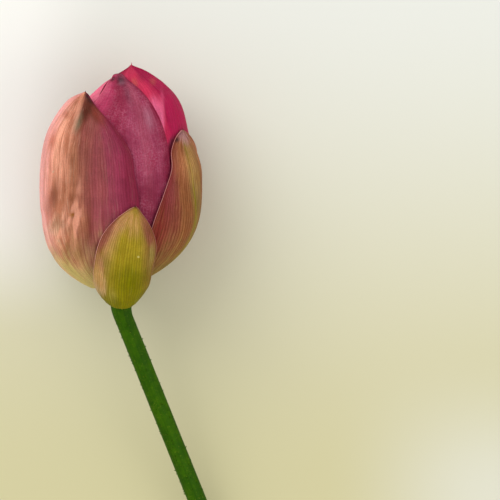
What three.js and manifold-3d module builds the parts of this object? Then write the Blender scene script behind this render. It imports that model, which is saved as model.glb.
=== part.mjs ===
// A closed lotus bud on its cut stalk, lying on its back on a level surface.
// Millimetres. +Y runs from the stalk to the bud's tip, +Z is up and the surface is at Z = 0.
import * as THREE from 'three';
import { mergeVertices } from 'three/addons/utils/BufferGeometryUtils.js';
import Module from 'manifold-3d';

const wasm = await Module();
wasm.setup();

// The bud is an egg on the Y axis. Each petal lies on that egg, shrunk by the petal's depth below it.
// The egg's tip leans to one side, and a petal's leaning is how much of that it follows.
const EGG_RADIUS = 36.6;
const EGG_TOP = 58.4;
const EGG_BOTTOM = 46;
const TOP_ROUNDNESS = 2.6;
const TOP_TAPER = 0.86;
const BOTTOM_ROUNDNESS = 2.8;
const BOTTOM_TAPER = 0.8;
const TIP_LEAN = 4.8;
const TIP_LEAN_FROM = 22;
const TIP_LEAN_TO = 44;

// Layers of petals. From the closing layer inwards they shut the bud's tip.
const LAYER_PITCH = 1.45;
const CLOSING_LAYER = 3;
const PLAIN_ROWS = 12;
const CLOSING_ROWS = 14;
const PLAIN_COLUMNS = 10;
const PETAL_THICKNESS = 0.62;
const ROW_CROWDING = 0.08;

// The bud lies on a spot that its own weight presses flat
const FLAT_DEPTH = 1.6;
const BUD_HEIGHT = EGG_RADIUS - FLAT_DEPTH;

// Saccate bases: the lower part of an outer petal stands off the egg
const POUCH_FROM = -44.6;
const POUCH_FULL = -41.5;
const POUCH_FADE = -38;
const POUCH_END = -12;
const SEPAL_DROP_FROM = -20;
const SEPAL_DROP_FULL = -40;

// Receptacle
const CLEARANCE = 0.3;
const PETAL_CLEARANCE = 0.5;
const NECK_RADIUS = 5.9;
const NECK_BOTTOM = -52;
const NECK_TOP = -37;
const NECK_CHAMFER = 0.8;
const HEAD_RADIUS = 14.5;
const HEAD_BASE = -10;
const HEAD_TOP = -6.5;
const HEAD_CHAMFER = 1;
const HEAD_SIDES = 20;
const CARPEL_RINGS = [[0, 1], [5, 5], [10, 10]];
const CARPEL_RADIUS = 1.3;
const CARPEL_TIP_RADIUS = 0.9;
const CARPEL_HEIGHT = 1.6;
const CARPEL_SIDES = 6;

// Stamens
const STAMEN_COUNT = 26;
const STAMEN_LENGTH = 28;
const STAMEN_SPLAY = 19;
const STAMEN_FOOT = -32.5;
const STAMEN_FOOT_RADIUS = 9;
const STAMEN_SIDES = 4;
const FILAMENT_RADIUS = 0.4;
const ANTHER_RADIUS = 0.85;
const ANTHER_FROM = 17;
const ANTHER_FULL = 18;
const ANTHER_TO = 26;
const COLLAR_REACH = 1;
const COLLAR_CLEARANCE = 0.4;

// Stalk
const STALK_RADIUS = 4.15;
const STALK_SIDES = 16;
const STALK_TURN = 21.8;
const STALK_DROOP = 12.5;
const BEND_RADIUS = 18;
const BEND_STEPS = 5;
const STRAIGHT_STEPS = 7;
const CANAL_COUNT = 7;
const CANAL_RADIUS = 0.75;
const CANAL_RING = 2.3;
const CANAL_SIDES = 5;
const PRICKLE_COUNT = 72;
const PRICKLE_RADIUS = 0.5;
const PRICKLE_HEIGHT = 0.75;
const PRICKLE_SINK = 0.15;
const PRICKLE_SIDES = 5;
const PRICKLE_SMALLEST = 0.7;
const PRICKLE_LARGEST = 1.2;
const FIRST_PRICKLE = 2;
const BARE_END = 26;
const SCATTER_STEP = 12.99;
const SCATTER_SALT = 78.23;
const SCATTER_STRETCH = 43758.5;

const group = new THREE.Group();
const bud = new THREE.Group();
bud.position.set(0, 0, BUD_HEIGHT);
group.add(bud);

function addPiece(name, geometry, color, roughness) {
  const material = new THREE.MeshStandardMaterial({ color, roughness, metalness: 0 });
  const mesh = new THREE.Mesh(geometry, material);
  mesh.name = name;
  bud.add(mesh);
}

// Joining

function toSolid(geometry) {
  const bare = geometry.clone();
  bare.deleteAttribute('normal');
  bare.deleteAttribute('uv');
  const merged = mergeVertices(bare);
  return new wasm.Manifold(new wasm.Mesh({
    numProp: 3,
    vertProperties: new Float32Array(merged.attributes.position.array),
    triVerts: new Uint32Array(merged.index.array),
  }));
}

function toGeometry(solid) {
  const mesh = solid.getMesh();
  const geometry = new THREE.BufferGeometry();
  geometry.setAttribute('position', new THREE.BufferAttribute(mesh.vertProperties, 3));
  geometry.setIndex(new THREE.BufferAttribute(mesh.triVerts, 1));
  return geometry;
}

function joined(geometries) {
  return toGeometry(geometries.map(toSolid).reduce((whole, solid) => whole.add(solid)));
}

// Petals. A margin or midrib is a list of [azimuth, height] on the egg, from the base to the tip.
// Azimuth 0 points along +X, 90 straight up and 180 along -X.

const { smoothstep, degToRad } = THREE.MathUtils;

function eggWidth(share) {
  const power = share > 0 ? TOP_ROUNDNESS : BOTTOM_ROUNDNESS;
  const taper = share > 0 ? TOP_TAPER : BOTTOM_TAPER;
  return Math.max(1 - Math.abs(share) ** power, 0) ** taper;
}

function eggPoint(azimuth, height, depth, leaning) {
  const end = height > 0 ? EGG_TOP : EGG_BOTTOM;
  const share = height / end;
  const y = share * (end - depth);
  const radius = (EGG_RADIUS - depth) * eggWidth(share);
  const angle = degToRad(azimuth);
  const lean = leaning * TIP_LEAN * smoothstep(y, TIP_LEAN_FROM, TIP_LEAN_TO);
  const floor = depth - BUD_HEIGHT;
  return new THREE.Vector3(lean + radius * Math.cos(angle), y, Math.max(radius * Math.sin(angle), floor));
}

// side runs from -1 at one margin to 1 at the other; a hugging petal stands off less towards its margins.
function petalDepth(petal, height, side) {
  const fade = 1 - smoothstep(height, POUCH_FADE, POUCH_END);
  const pouch = smoothstep(height, POUCH_FROM, POUCH_FULL) * fade;
  const drop = 1 - smoothstep(height, SEPAL_DROP_FULL, SEPAL_DROP_FROM);
  const [tuck, from, to] = petal.tuck ?? [0, 0, 1];
  const hug = 1 - (petal.hug ?? 0) * side * side;
  const stand = hug * ((petal.pouch ?? 0) * pouch + (petal.drop ?? 0) * drop);
  return petal.layer * LAYER_PITCH - stand + tuck * smoothstep(height, from, to);
}

// The height at which a petal meets the neck of the receptacle.
function baseHeight(petal) {
  const width = (NECK_RADIUS + PETAL_CLEARANCE) / (EGG_RADIUS - petalDepth(petal, POUCH_FROM, 1));
  return -EGG_BOTTOM * (1 - width ** (1 / BOTTOM_TAPER)) ** (1 / BOTTOM_ROUNDNESS);
}

function splineThrough(points, base) {
  const path = points.map(([azimuth, height]) => new THREE.Vector2(azimuth, height ?? base));
  return new THREE.SplineCurve(path);
}

// Rows lie closer together towards the base and the tip, where the bud bends most.
function rowShare(row, rows) {
  const s = row / rows;
  return s - ROW_CROWDING * Math.sin(2 * Math.PI * s);
}

function petalGeometry(petal) {
  const base = baseHeight(petal);
  const rib = splineThrough(petal.rib, base);
  const plus = splineThrough(petal.plus, base);
  const minus = splineThrough(petal.minus, base);
  const { rows, columns, leaning = 1 } = petal;
  const outer = [];
  const inner = [];
  for (let row = 0; row <= rows; row++) {
    const u = rowShare(row, rows);
    const middle = rib.getPoint(u);
    const right = minus.getPoint(u);
    const left = plus.getPoint(u);
    for (let column = 0; column <= columns; column++) {
      const v = 2 * column / columns - 1;
      const spread = left.clone().sub(right).multiplyScalar(v / 2);
      const bow = left.clone().add(right).multiplyScalar(0.5).sub(middle).multiplyScalar(v * v);
      const spot = middle.clone().add(spread).add(bow);
      const depth = petalDepth(petal, spot.y, v);
      outer.push(eggPoint(spot.x, spot.y, depth, leaning));
      inner.push(eggPoint(spot.x, spot.y, depth + PETAL_THICKNESS, leaning));
    }
  }
  return sheetGeometry(outer, inner, rows, columns);
}

// Two like grids of points closed into one solid, split into triangles alike on both faces.
function sheetGeometry(outer, inner, rows, columns) {
  const index = [];
  const width = columns + 1;
  const back = outer.length;
  const quad = (a, b, c, d) => index.push(a, b, c, a, c, d);
  for (let row = 0; row < rows; row++) {
    for (let column = 0; column < columns; column++) {
      const a = row * width + column;
      const b = a + width;
      quad(a, b, b + 1, a + 1);
      index.push(back + a, back + b + 1, back + b, back + a, back + a + 1, back + b + 1);
    }
  }
  for (let column = 0; column < columns; column++) {
    const last = rows * width + column;
    quad(column, column + 1, back + column + 1, back + column);
    quad(last + 1, last, back + last, back + last + 1);
  }
  for (let row = 0; row < rows; row++) {
    const near = row * width;
    const far = near + columns;
    quad(near + width, near, back + near, back + near + width);
    quad(far, far + width, back + far + width, back + far);
  }
  const geometry = new THREE.BufferGeometry();
  const points = outer.concat(inner).flatMap((p) => [p.x, p.y, p.z]);
  geometry.setAttribute('position', new THREE.Float32BufferAttribute(points, 3));
  geometry.setIndex(index);
  return geometry;
}

// A petal that is alike on both sides of its midrib: half is its half width in degrees.
// Its margin is a list of [share of the half width, share of the height]. A petal that closes the
// bud's tip stays wide until it is almost there.
const PLAIN_MARGIN = [
  [0.8, 0], [0.92, 0.17], [1, 0.36], [1, 0.54], [0.93, 0.7], [0.75, 0.84], [0.42, 0.95], [0.05, 1],
];
const CLOSING_MARGIN = [
  [0.8, 0], [0.92, 0.17], [1, 0.38], [1, 0.6], [1, 0.79], [1, 0.92], [0.9, 0.975], [0.12, 1],
];
const PLAIN_RIB = [0, 0.17, 0.37, 0.56, 0.73, 0.87, 0.96, 1];

function plainPetal(name, color, layer, azimuth, half, tip, more = {}) {
  const base = baseHeight({ layer, ...more });
  const at = (share) => base + (tip - base) * share;
  const closing = layer >= CLOSING_LAYER;
  const margin = closing ? CLOSING_MARGIN : PLAIN_MARGIN;
  return {
    name, color, layer, rows: closing ? CLOSING_ROWS : PLAIN_ROWS, columns: PLAIN_COLUMNS,
    rib: PLAIN_RIB.map((share) => [azimuth, at(share)]),
    plus: margin.map(([side, share]) => [azimuth + half * side, at(share)]),
    minus: margin.map(([side, share]) => [azimuth - half * side, at(share)]),
    ...more,
  };
}

const GREEN = 0x8a8420;
const TAN = 0xc07a5c;
const MAUVE = 0x98446a;
const CRIMSON = 0xb03050;
const PINK = 0xe8708c;
const PETAL_ROUGHNESS = 0.6;

const petals = [
  {
    name: 'sepal_front', color: GREEN, layer: -1, pouch: 7.3, drop: 6.5, hug: 0.45,
    rows: 14, columns: 12,
    rib: [[88], [88, -41.8], [88, -37.5], [87, -31], [85, -25], [83, -18], [81, -12.8], [79.7, -9.15]],
    plus: [[118], [125, -41.5], [121, -38], [113, -32], [107, -25], [101, -19.5], [91, -13.5], [80.5, -9.3]],
    minus: [[58], [53, -41.5], [56, -38], [61, -33], [62, -25], [67, -18.5], [73, -13.5], [79, -9]],
  },
  plainPetal('sepal_back_left', GREEN, -1, 232, 22, -18, { pouch: 1.9, drop: 1.5, rows: 10, columns: 7 }),
  plainPetal('sepal_back_right', GREEN, -1, 284, 20, -22, { pouch: 1.9, drop: 1.5, rows: 10, columns: 7 }),
  {
    name: 'petal_outer_left', color: TAN, layer: 0, leaning: 0.35, pouch: 4.8, rows: 15, columns: 12,
    rib: [[130], [131, -34], [131, -15], [131, 5], [130.5, 21], [131, 31.5], [136.5, 38], [140.5, 42.15]],
    plus: [[176], [190, -34], [194, -15], [194, 5], [192, 19], [187, 30], [174, 37.8], [142.5, 42.2]],
    minus: [[86], [79, -34], [76, -13], [79.5, 4], [83, 16], [97, 27.5], [120, 37], [138.5, 42]],
  },
  {
    name: 'petal_outer_right', color: TAN, layer: 0, tuck: [1.9, 6, 22], rows: 14, columns: 12,
    rib: [[10], [12, -32], [18, -16], [25, -4], [28, 6], [30, 15], [28.5, 22], [26, 26.05]],
    plus: [[57], [68, -32], [65, -17], [58, -4], [51, 7], [48.5, 15.5], [39.5, 22.3], [27, 26]],
    minus: [[-35], [-42, -32], [-45, -17], [-43, -4], [-34, 6], [-14, 14], [8, 21.3], [25, 26]],
  },
  plainPetal('petal_outer_back', TAN, 0, 256, 52, 38, { pouch: 1.5, rows: 16, columns: 14 }),
  {
    name: 'petal_middle_front', color: MAUVE, layer: 1, rows: 14, columns: 12,
    rib: [[90], [91, -30], [92, -8], [93, 12], [95, 27], [98, 38], [106, 46], [118, 51.9]],
    plus: [[135], [140, -30], [142, -8], [143, 12], [142, 26], [132, 37], [129, 44.5], [134, 51.3]],
    minus: [[45], [46, -30], [47, -8], [50, 12], [52.5, 26], [63, 36], [80, 45], [103, 50.5]],
  },
  plainPetal('petal_middle_back_left', MAUVE, 1, 208, 51, 41, { pouch: 1.2 }),
  plainPetal('petal_middle_back_right', MAUVE, 1, 298, 36, 32),
  {
    name: 'petal_apex', color: CRIMSON, layer: 2, rows: 16, columns: 13,
    rib: [[42], [40, -30], [40, -8], [40, 14], [42, 32], [48, 45], [66, 54], [91, 57.35]],
    plus: [[85], [95, -30], [100, -8], [105, 14], [117, 32], [136, 44], [139, 51.5], [104, 57.3]],
    minus: [[0], [-12, -30], [-20, -8], [-22, 14], [-22, 32], [-16, 45], [14, 54], [80, 57.3]],
  },
  plainPetal('petal_inner_back_left', CRIMSON, 2, 226, 36, 53, { rows: CLOSING_ROWS }),
  plainPetal('petal_inner_back_right', CRIMSON, 2, 298, 33, 56, { rows: CLOSING_ROWS }),
  {
    name: 'petal_inner_left', color: PINK, layer: 3, rows: 14, columns: 11,
    rib: [[165], [165, -30], [165, -8], [165, 14], [164, 30], [161, 41], [155, 49], [148, 53]],
    plus: [[208], [214, -30], [218, -8], [218, 14], [215, 30], [206, 41], [188, 48.5], [151, 52.9]],
    minus: [[122], [116, -30], [112, -8], [112, 14], [113, 30], [118, 41], [128, 49], [146, 52.9]],
  },
  plainPetal('petal_deep_back', PINK, 3, 275, 50, 57),
  plainPetal('petal_deep_right', PINK, 3, 31, 52, 57),
  plainPetal('petal_core_front', PINK, 4, 100, 59, 57),
  plainPetal('petal_core_left', PINK, 4, 220, 59, 57),
  plainPetal('petal_core_right', PINK, 4, 340, 59, 57),
];

for (const petal of petals) {
  addPiece(petal.name, petalGeometry(petal), petal.color, PETAL_ROUGHNESS);
}

// Turns a profile of [radius, y] round the Y axis.
function lathe(sides, profile) {
  return new THREE.LatheGeometry(profile.map(([radius, y]) => new THREE.Vector2(radius, y)), sides);
}

// Receptacle: a cone on a neck, with the carpels' stigmas standing on its flat top

function coneRadius(y) {
  return THREE.MathUtils.mapLinear(y, NECK_TOP, HEAD_BASE, NECK_RADIUS, HEAD_RADIUS);
}

function receptacle() {
  const pieces = [lathe(HEAD_SIDES, [
    [0, NECK_BOTTOM],
    [STALK_RADIUS, NECK_BOTTOM],
    [NECK_RADIUS, NECK_BOTTOM + NECK_CHAMFER],
    [NECK_RADIUS, NECK_TOP],
    [HEAD_RADIUS, HEAD_BASE],
    [HEAD_RADIUS, HEAD_TOP - HEAD_CHAMFER],
    [HEAD_RADIUS - HEAD_CHAMFER, HEAD_TOP],
    [0, HEAD_TOP],
  ])];
  for (const [ring, count] of CARPEL_RINGS) {
    for (let i = 0; i < count; i++) {
      const angle = 2 * Math.PI * i / count;
      const y = HEAD_TOP + CARPEL_HEIGHT / 4;
      const radii = [CARPEL_TIP_RADIUS, CARPEL_RADIUS];
      const carpel = new THREE.CylinderGeometry(...radii, CARPEL_HEIGHT, CARPEL_SIDES);
      pieces.push(carpel.translate(ring * Math.cos(angle), y, ring * Math.sin(angle)));
    }
  }
  return joined(pieces);
}

addPiece('receptacle', receptacle(), 0xd8c860, 0.7);

// Stamens: a collar round the cone carries a ring of filaments with long anthers

function stamens() {
  const low = STAMEN_FOOT - COLLAR_REACH;
  const high = STAMEN_FOOT + COLLAR_REACH;
  const foot = [coneRadius(low) + COLLAR_CLEARANCE, low];
  const rim = STAMEN_FOOT_RADIUS + COLLAR_REACH;
  const pieces = [lathe(HEAD_SIDES, [
    foot,
    [rim, low],
    [rim, high],
    [coneRadius(high) + COLLAR_CLEARANCE, high],
    foot,
  ])];
  for (let i = 0; i < STAMEN_COUNT; i++) {
    const one = lathe(STAMEN_SIDES, [
      [0, 0],
      [FILAMENT_RADIUS, 0],
      [FILAMENT_RADIUS, ANTHER_FROM],
      [ANTHER_RADIUS, ANTHER_FULL],
      [ANTHER_RADIUS, ANTHER_TO],
      [0, STAMEN_LENGTH],
    ]);
    one.rotateZ(degToRad(-STAMEN_SPLAY));
    one.translate(STAMEN_FOOT_RADIUS, STAMEN_FOOT, 0);
    pieces.push(one.rotateY(2 * Math.PI * i / STAMEN_COUNT));
  }
  return joined(pieces);
}

addPiece('stamens', stamens(), 0xe8c84a, 0.7);

// Stalk: it leaves the neck along the bud's axis, bends once and runs straight down to the surface

class StalkPath extends THREE.Curve {
  constructor() {
    super();
    const turn = degToRad(STALK_TURN);
    const droop = degToRad(STALK_DROOP);
    this.start = new THREE.Vector3(0, NECK_BOTTOM - CLEARANCE, 0);
    this.first = new THREE.Vector3(0, -1, 0);
    this.last = new THREE.Vector3(Math.sin(turn), -Math.cos(turn), 0).multiplyScalar(Math.cos(droop));
    this.last.z = -Math.sin(droop);
    this.bend = this.first.angleTo(this.last);
    this.side = this.last.clone().addScaledVector(this.first, -Math.cos(this.bend)).normalize();
    this.share = BEND_STEPS / (BEND_STEPS + STRAIGHT_STEPS);
    const endHeight = STALK_RADIUS * Math.cos(droop) - BUD_HEIGHT;
    this.length = (endHeight - this.onBend(this.bend).z) / this.last.z;
  }

  onBend(angle) {
    const point = this.start.clone().addScaledVector(this.first, BEND_RADIUS * Math.sin(angle));
    return point.addScaledVector(this.side, BEND_RADIUS * (1 - Math.cos(angle)));
  }

  getPoint(t) {
    if (t < this.share) {
      return this.onBend(this.bend * t / this.share);
    }
    const run = this.length * (t - this.share) / (1 - this.share);
    return this.onBend(this.bend).addScaledVector(this.last, run);
  }

  getTangent(t) {
    const angle = this.bend * Math.min(t / this.share, 1);
    return this.first.clone().multiplyScalar(Math.cos(angle)).addScaledVector(this.side, Math.sin(angle));
  }

  getUtoTmapping(u) {
    return u;
  }
}

function circlePath(path, x, y, radius, sides) {
  const points = [];
  for (let i = 0; i < sides; i++) {
    const angle = 2 * Math.PI * i / sides;
    points.push(new THREE.Vector2(x + radius * Math.cos(angle), y + radius * Math.sin(angle)));
  }
  return path.setFromPoints(points);
}

// A number from 0 to 1 that looks random but is the same on each run.
function scatter(i, salt) {
  const value = SCATTER_STRETCH * Math.sin(i * SCATTER_STEP + salt * SCATTER_SALT);
  return value - Math.floor(value);
}

function stalk() {
  const path = new StalkPath();
  const section = circlePath(new THREE.Shape(), 0, 0, STALK_RADIUS, STALK_SIDES);
  for (let i = 0; i < CANAL_COUNT; i++) {
    const angle = 2 * Math.PI * i / CANAL_COUNT;
    const x = CANAL_RING * Math.cos(angle);
    const y = CANAL_RING * Math.sin(angle);
    section.holes.push(circlePath(new THREE.Path(), x, y, CANAL_RADIUS, CANAL_SIDES));
  }
  const steps = BEND_STEPS + STRAIGHT_STEPS;
  const tube = new THREE.ExtrudeGeometry(section, { steps, extrudePath: path, bevelEnabled: false });
  const pieces = [tube];
  const across = new THREE.Vector3().crossVectors(path.last, path.side).normalize();
  const up = new THREE.Vector3().crossVectors(across, path.last);
  const foot = path.onBend(path.bend);
  for (let i = 0; i < PRICKLE_COUNT; i++) {
    const run = FIRST_PRICKLE + (path.length - BARE_END) * (i + scatter(i, 1)) / PRICKLE_COUNT;
    const angle = 2 * Math.PI * scatter(i, 2);
    const out = across.clone().multiplyScalar(Math.cos(angle)).addScaledVector(up, Math.sin(angle));
    const size = THREE.MathUtils.lerp(PRICKLE_SMALLEST, PRICKLE_LARGEST, scatter(i, 3));
    const prickle = new THREE.ConeGeometry(PRICKLE_RADIUS * size, PRICKLE_HEIGHT * size, PRICKLE_SIDES);
    prickle.applyQuaternion(new THREE.Quaternion().setFromUnitVectors(new THREE.Vector3(0, 1, 0), out));
    const spot = foot.clone().addScaledVector(path.last, run);
    spot.addScaledVector(out, STALK_RADIUS + PRICKLE_SINK);
    pieces.push(prickle.translate(spot.x, spot.y, spot.z));
  }
  return joined(pieces);
}

addPiece('stalk', stalk(), 0x2f5a0a, 0.55);

export default group;
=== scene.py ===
# A closed lotus bud on its cut stalk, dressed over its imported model.
# Lengths are millimetres until a mesh is made. +Y runs from the stalk to the tip, +Z is up.
from math import cos, pi, radians, sin
from typing import NamedTuple

import bmesh
import bpy
import numpy as np
from bpy.props import FloatProperty, FloatVectorProperty, IntProperty, PointerProperty
from mathutils import Matrix, Vector, noise


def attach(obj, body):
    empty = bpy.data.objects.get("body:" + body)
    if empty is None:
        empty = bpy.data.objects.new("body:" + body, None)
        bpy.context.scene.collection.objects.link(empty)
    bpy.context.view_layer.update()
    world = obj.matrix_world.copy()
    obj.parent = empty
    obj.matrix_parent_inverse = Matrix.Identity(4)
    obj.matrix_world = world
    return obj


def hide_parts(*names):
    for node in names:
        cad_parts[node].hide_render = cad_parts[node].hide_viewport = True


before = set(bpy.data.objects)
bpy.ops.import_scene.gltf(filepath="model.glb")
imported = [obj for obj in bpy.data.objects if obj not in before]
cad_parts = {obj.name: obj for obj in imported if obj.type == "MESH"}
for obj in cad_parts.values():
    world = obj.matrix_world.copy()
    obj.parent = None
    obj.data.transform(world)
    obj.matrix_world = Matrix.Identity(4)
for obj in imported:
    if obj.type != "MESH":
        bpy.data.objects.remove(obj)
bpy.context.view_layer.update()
ROOT = "root"

bl_info = {
    "name": "Lotus Bud",
    "version": (1, 0, 0),
    "blender": (4, 5, 0),
    "location": "3D View > Sidebar > Lotus",
    "description": "Builds a closed lotus bud on its cut stalk",
    "category": "Add Mesh",
}

MM = 0.001

# The bud is an egg on the Y axis. Each petal lies on that egg, shrunk by the petal's depth below it.
EGG_RADIUS = 36.6
EGG_TOP = 58.4
EGG_BOTTOM = 46.0
TOP_ROUNDNESS = 2.6
TOP_TAPER = 0.86
BOTTOM_ROUNDNESS = 2.8
BOTTOM_TAPER = 0.8
TIP_LEAN = 4.8
TIP_LEAN_FROM = 22.0
TIP_LEAN_TO = 44.0
LAYER_PITCH = 1.45
CLOSING_LAYER = 3
PETAL_THICKNESS = 0.62
ROW_CROWDING = 0.08
FLAT_DEPTH = 1.6
BUD_HEIGHT = EGG_RADIUS - FLAT_DEPTH

# Saccate bases: the lower part of an outer petal stands off the egg
POUCH_FROM = -44.6
POUCH_FULL = -41.5
POUCH_FADE = -38.0
POUCH_END = -12.0
SEPAL_DROP_FROM = -20.0
SEPAL_DROP_FULL = -40.0

# Receptacle
CLEARANCE = 0.3
PETAL_CLEARANCE = 0.5
NECK_RADIUS = 5.9
NECK_BOTTOM = -52.0
NECK_TOP = -37.0
HEAD_RADIUS = 14.5
HEAD_BASE = -10.0
HEAD_TOP = -6.5
# Radii and heights of the neck's rounded foot, and insets and drops of the head's rim
NECK_FOOT = (
    (0, 0), (4.15, 0), (4.8, 0.1), (5.2, 0.45), (5.5, 1.1), (5.7, 2), (5.85, 3.2), (NECK_RADIUS, 5),
)
HEAD_RIM = ((0, 1), (0.4, 0.3), (1, 0))

# Stalk
STALK_RADIUS = 4.15
STALK_TURN = radians(21.8)
STALK_DROOP = radians(12.5)
BEND_RADIUS = 18.0
STALK_STEPS = 150
STALK_FLARE = 0.15
FLARE_LENGTH = 9.0
# How much of the clearance to the neck the stalk closes
JOINT_SHARE = 0.85
CANAL_COUNT = 7
CANAL_RADIUS = 0.75
CANAL_RING = 2.3
CANAL_DEPTH = 12.0
PRICKLE_HEIGHT = 0.8
PRICKLE_RADIUS = 0.42
PRICKLE_TIP = 0.1
BARE_START = 4.0
BARE_END = 26.0


def linear(code):
    """A linear colour from six hexadecimal digits."""
    shares = [int(code[i : i + 2], 16) / 255 for i in (0, 2, 4)]
    return [s / 12.92 if s < 0.04045 else ((s + 0.055) / 1.055) ** 2.4 for s in shares]


# The colours in the sidebar, each with where it is used
PALETTE = {
    "leaf": ("888200", "Base of the sepals"),
    "olive": ("b2962c", "Sepals"),
    "buff": ("c2945a", "Sides of the sepals"),
    "clay": ("c48c66", "Tip of the sepals"),
    "bronze": ("aa883a", "Right side of the sepals"),
    "russet": ("9a643e", "Margin of the sepals"),
    "straw": ("dcc87c", "Base of the outer petals"),
    # Blush is partly painted light: the pale margin lines and the lit left flank of the outer left petal
    "blush": ("ffb2ae", "Pale margins"),
    "coral": ("fcaa96", "Outer petals, blush to salmon"),
    "peach": ("f2a68a", "Fresh outer petals"),
    "salmon": ("fcb094", "Outer petals"),
    "apricot": ("d88c66", "Outer petals, peach to tan"),
    "tan": ("b8785c", "Dried outer petals"),
    "brown": ("9e5c50", "Dried centre"),
    "brick": ("9a524e", "Outer petals, brown to rose"),
    "rose": ("984254", "Shaded outer petals"),
    "wine": ("943650", "Outer petals, rose to garnet"),
    # Garnet is also painted shadow: in crevices between petals, along margins that stand over another petal
    # and in the hollow under a hooded tip
    "garnet": ("842640", "Deep folds"),
    "oxblood": ("8a3830", "Foot of the right petal"),
    "chestnut": ("94503e", "Side of the right petal"),
    "sienna": ("9e643e", "Right petal"),
    "khaki": ("988040", "Greened outer petals"),
    # Umber is dried brown, and partly painted shade in a hollow of the outer left petal
    "umber": ("743c30", "Dried hollows"),
    "rust": ("c06a50", "Bruises"),
    "amber": ("b87830", "Rotten spot"),
    "lilac": ("cc98a0", "Tip of the right petal"),
    "mauve": ("9e3c5a", "Second layer"),
    "dusk": ("a84c64", "Frosted second layer"),
    "plum": ("962c4a", "Shaded second layer"),
    "magenta": ("b83860", "Left of the second layer"),
    "crimson": ("8e2040", "Right of the second layer"),
    "scarlet": ("d0385c", "Tip petal"),
    "ruby": ("b01e4e", "Shaded tip petal"),
    "pink": ("f27694", "Young petals"),
    # Pale is also painted light where light shines through the single layer of the tip petal
    "pale": ("f07098", "Thin places"),
    "bloom": ("c07c90", "Powdery bloom"),
    "cream": ("f0c8ac", "Threads"),
    # Slate is dried tips, and also painted shadow in the crevice beside the right petal's tip and in the
    # hollow under the hooded tip
    "slate": ("3c2c36", "Dried tips"),
    "moss": ("747058", "Green midribs"),
    "stem": ("2a5200", "Stalk"),
    "fresh": ("3c6400", "Light clouds on the stalk"),
    "fir": ("1c3c00", "Stripes on the stalk"),
    "fleck": ("6c7c1c", "Flecks on the stalk"),
    "pith": ("b9c07a", "Cut end"),
    "wick": ("dfe2b0", "Fibres in the cut end"),
    "anther": ("e8c84a", "Stamens"),
    "sand": ("d2cca0", "Near surface"),
    "mist": ("e9ebe5", "Far surface"),
    # Snow is painted light on the surface, where the bud's shadow falls at its left
    "snow": ("f8f9f3", "Surface on the far left"),
    "chalk": ("e0dfcc", "Surface on the near right"),
}


class LotusColours(bpy.types.PropertyGroup):
    __annotations__ = {
        key: FloatVectorProperty(
            name=key.capitalize(), description=use, default=linear(code), subtype="COLOR", min=0, max=1
        )
        for key, (code, use) in PALETTE.items()
    }


class LotusSizes(bpy.types.PropertyGroup):
    margin_thickness: FloatProperty(
        name="Margin thickness", description="Share of the petal's thickness at its margin",
        default=0.35, min=0.1, max=1, subtype="FACTOR",
    )
    rib_height: FloatProperty(
        name="Midrib height", description="How far a midrib stands out",
        default=0.16 * MM, unit="LENGTH",
    )
    vein_height: FloatProperty(
        name="Vein height", description="How far the veins stand out",
        default=0.05 * MM, unit="LENGTH",
    )
    prickles: IntProperty(
        name="Prickles", description="Prickles on the stalk", default=170, min=0,
    )
    stalk_sides: IntProperty(
        name="Stalk sides", description="Faces round the stalk", default=64, min=12,
    )


# Petals. A margin or midrib is a list of (azimuth, height) on the egg, from the base to the tip.
# Azimuth 0 points along +X, 90 straight up and 180 along -X. A height of None is the petal's base.
# The plus margin lies at the larger azimuths and the minus margin at the smaller ones.

class Petal(NamedTuple):
    name: str
    layer: int
    rib: list
    plus: list
    minus: list
    pouch: float = 0.0
    drop: float = 0.0
    hug: float = 0.0
    tuck: tuple = (0.0, 0.0, 1.0)
    leaning: float = 1.0


def smooth_share(value, low, high):
    """How far value has come from low to high, with an easy start and end."""
    share = np.clip((value - low) / (high - low), 0, 1)
    return share * share * (3 - 2 * share)


def egg_width(share):
    power = np.where(share > 0, TOP_ROUNDNESS, BOTTOM_ROUNDNESS)
    taper = np.where(share > 0, TOP_TAPER, BOTTOM_TAPER)
    return np.maximum(1 - np.abs(share) ** power, 0) ** taper


def egg_point(azimuth, height, depth, leaning=1.0):
    """Places on the egg, as an array of (x, y, z) rows."""
    end = np.where(height > 0, EGG_TOP, EGG_BOTTOM)
    share = height / end
    y = share * (end - depth)
    radius = (EGG_RADIUS - depth) * egg_width(share)
    lean = leaning * TIP_LEAN * smooth_share(y, TIP_LEAN_FROM, TIP_LEAN_TO)
    angle = np.radians(azimuth)
    z = np.maximum(radius * np.sin(angle), depth - BUD_HEIGHT)
    return np.stack([lean + radius * np.cos(angle), y, z + BUD_HEIGHT], axis=-1)


def petal_depth(petal, height, side):
    """Depth below the egg. side runs from -1 at one margin to 1 at the other."""
    fade = 1 - smooth_share(height, POUCH_FADE, POUCH_END)
    pouch = smooth_share(height, POUCH_FROM, POUCH_FULL) * fade
    drop = 1 - smooth_share(height, SEPAL_DROP_FULL, SEPAL_DROP_FROM)
    tuck, low, high = petal.tuck
    stand = (1 - petal.hug * side * side) * (petal.pouch * pouch + petal.drop * drop)
    return petal.layer * LAYER_PITCH - stand + tuck * smooth_share(height, low, high)


def base_height(petal):
    """The height at which a petal meets the neck of the receptacle."""
    width = (NECK_RADIUS + PETAL_CLEARANCE) / (EGG_RADIUS - petal_depth(petal, POUCH_FROM, 1))
    return -EGG_BOTTOM * (1 - width ** (1 / BOTTOM_TAPER)) ** (1 / BOTTOM_ROUNDNESS)


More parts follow.
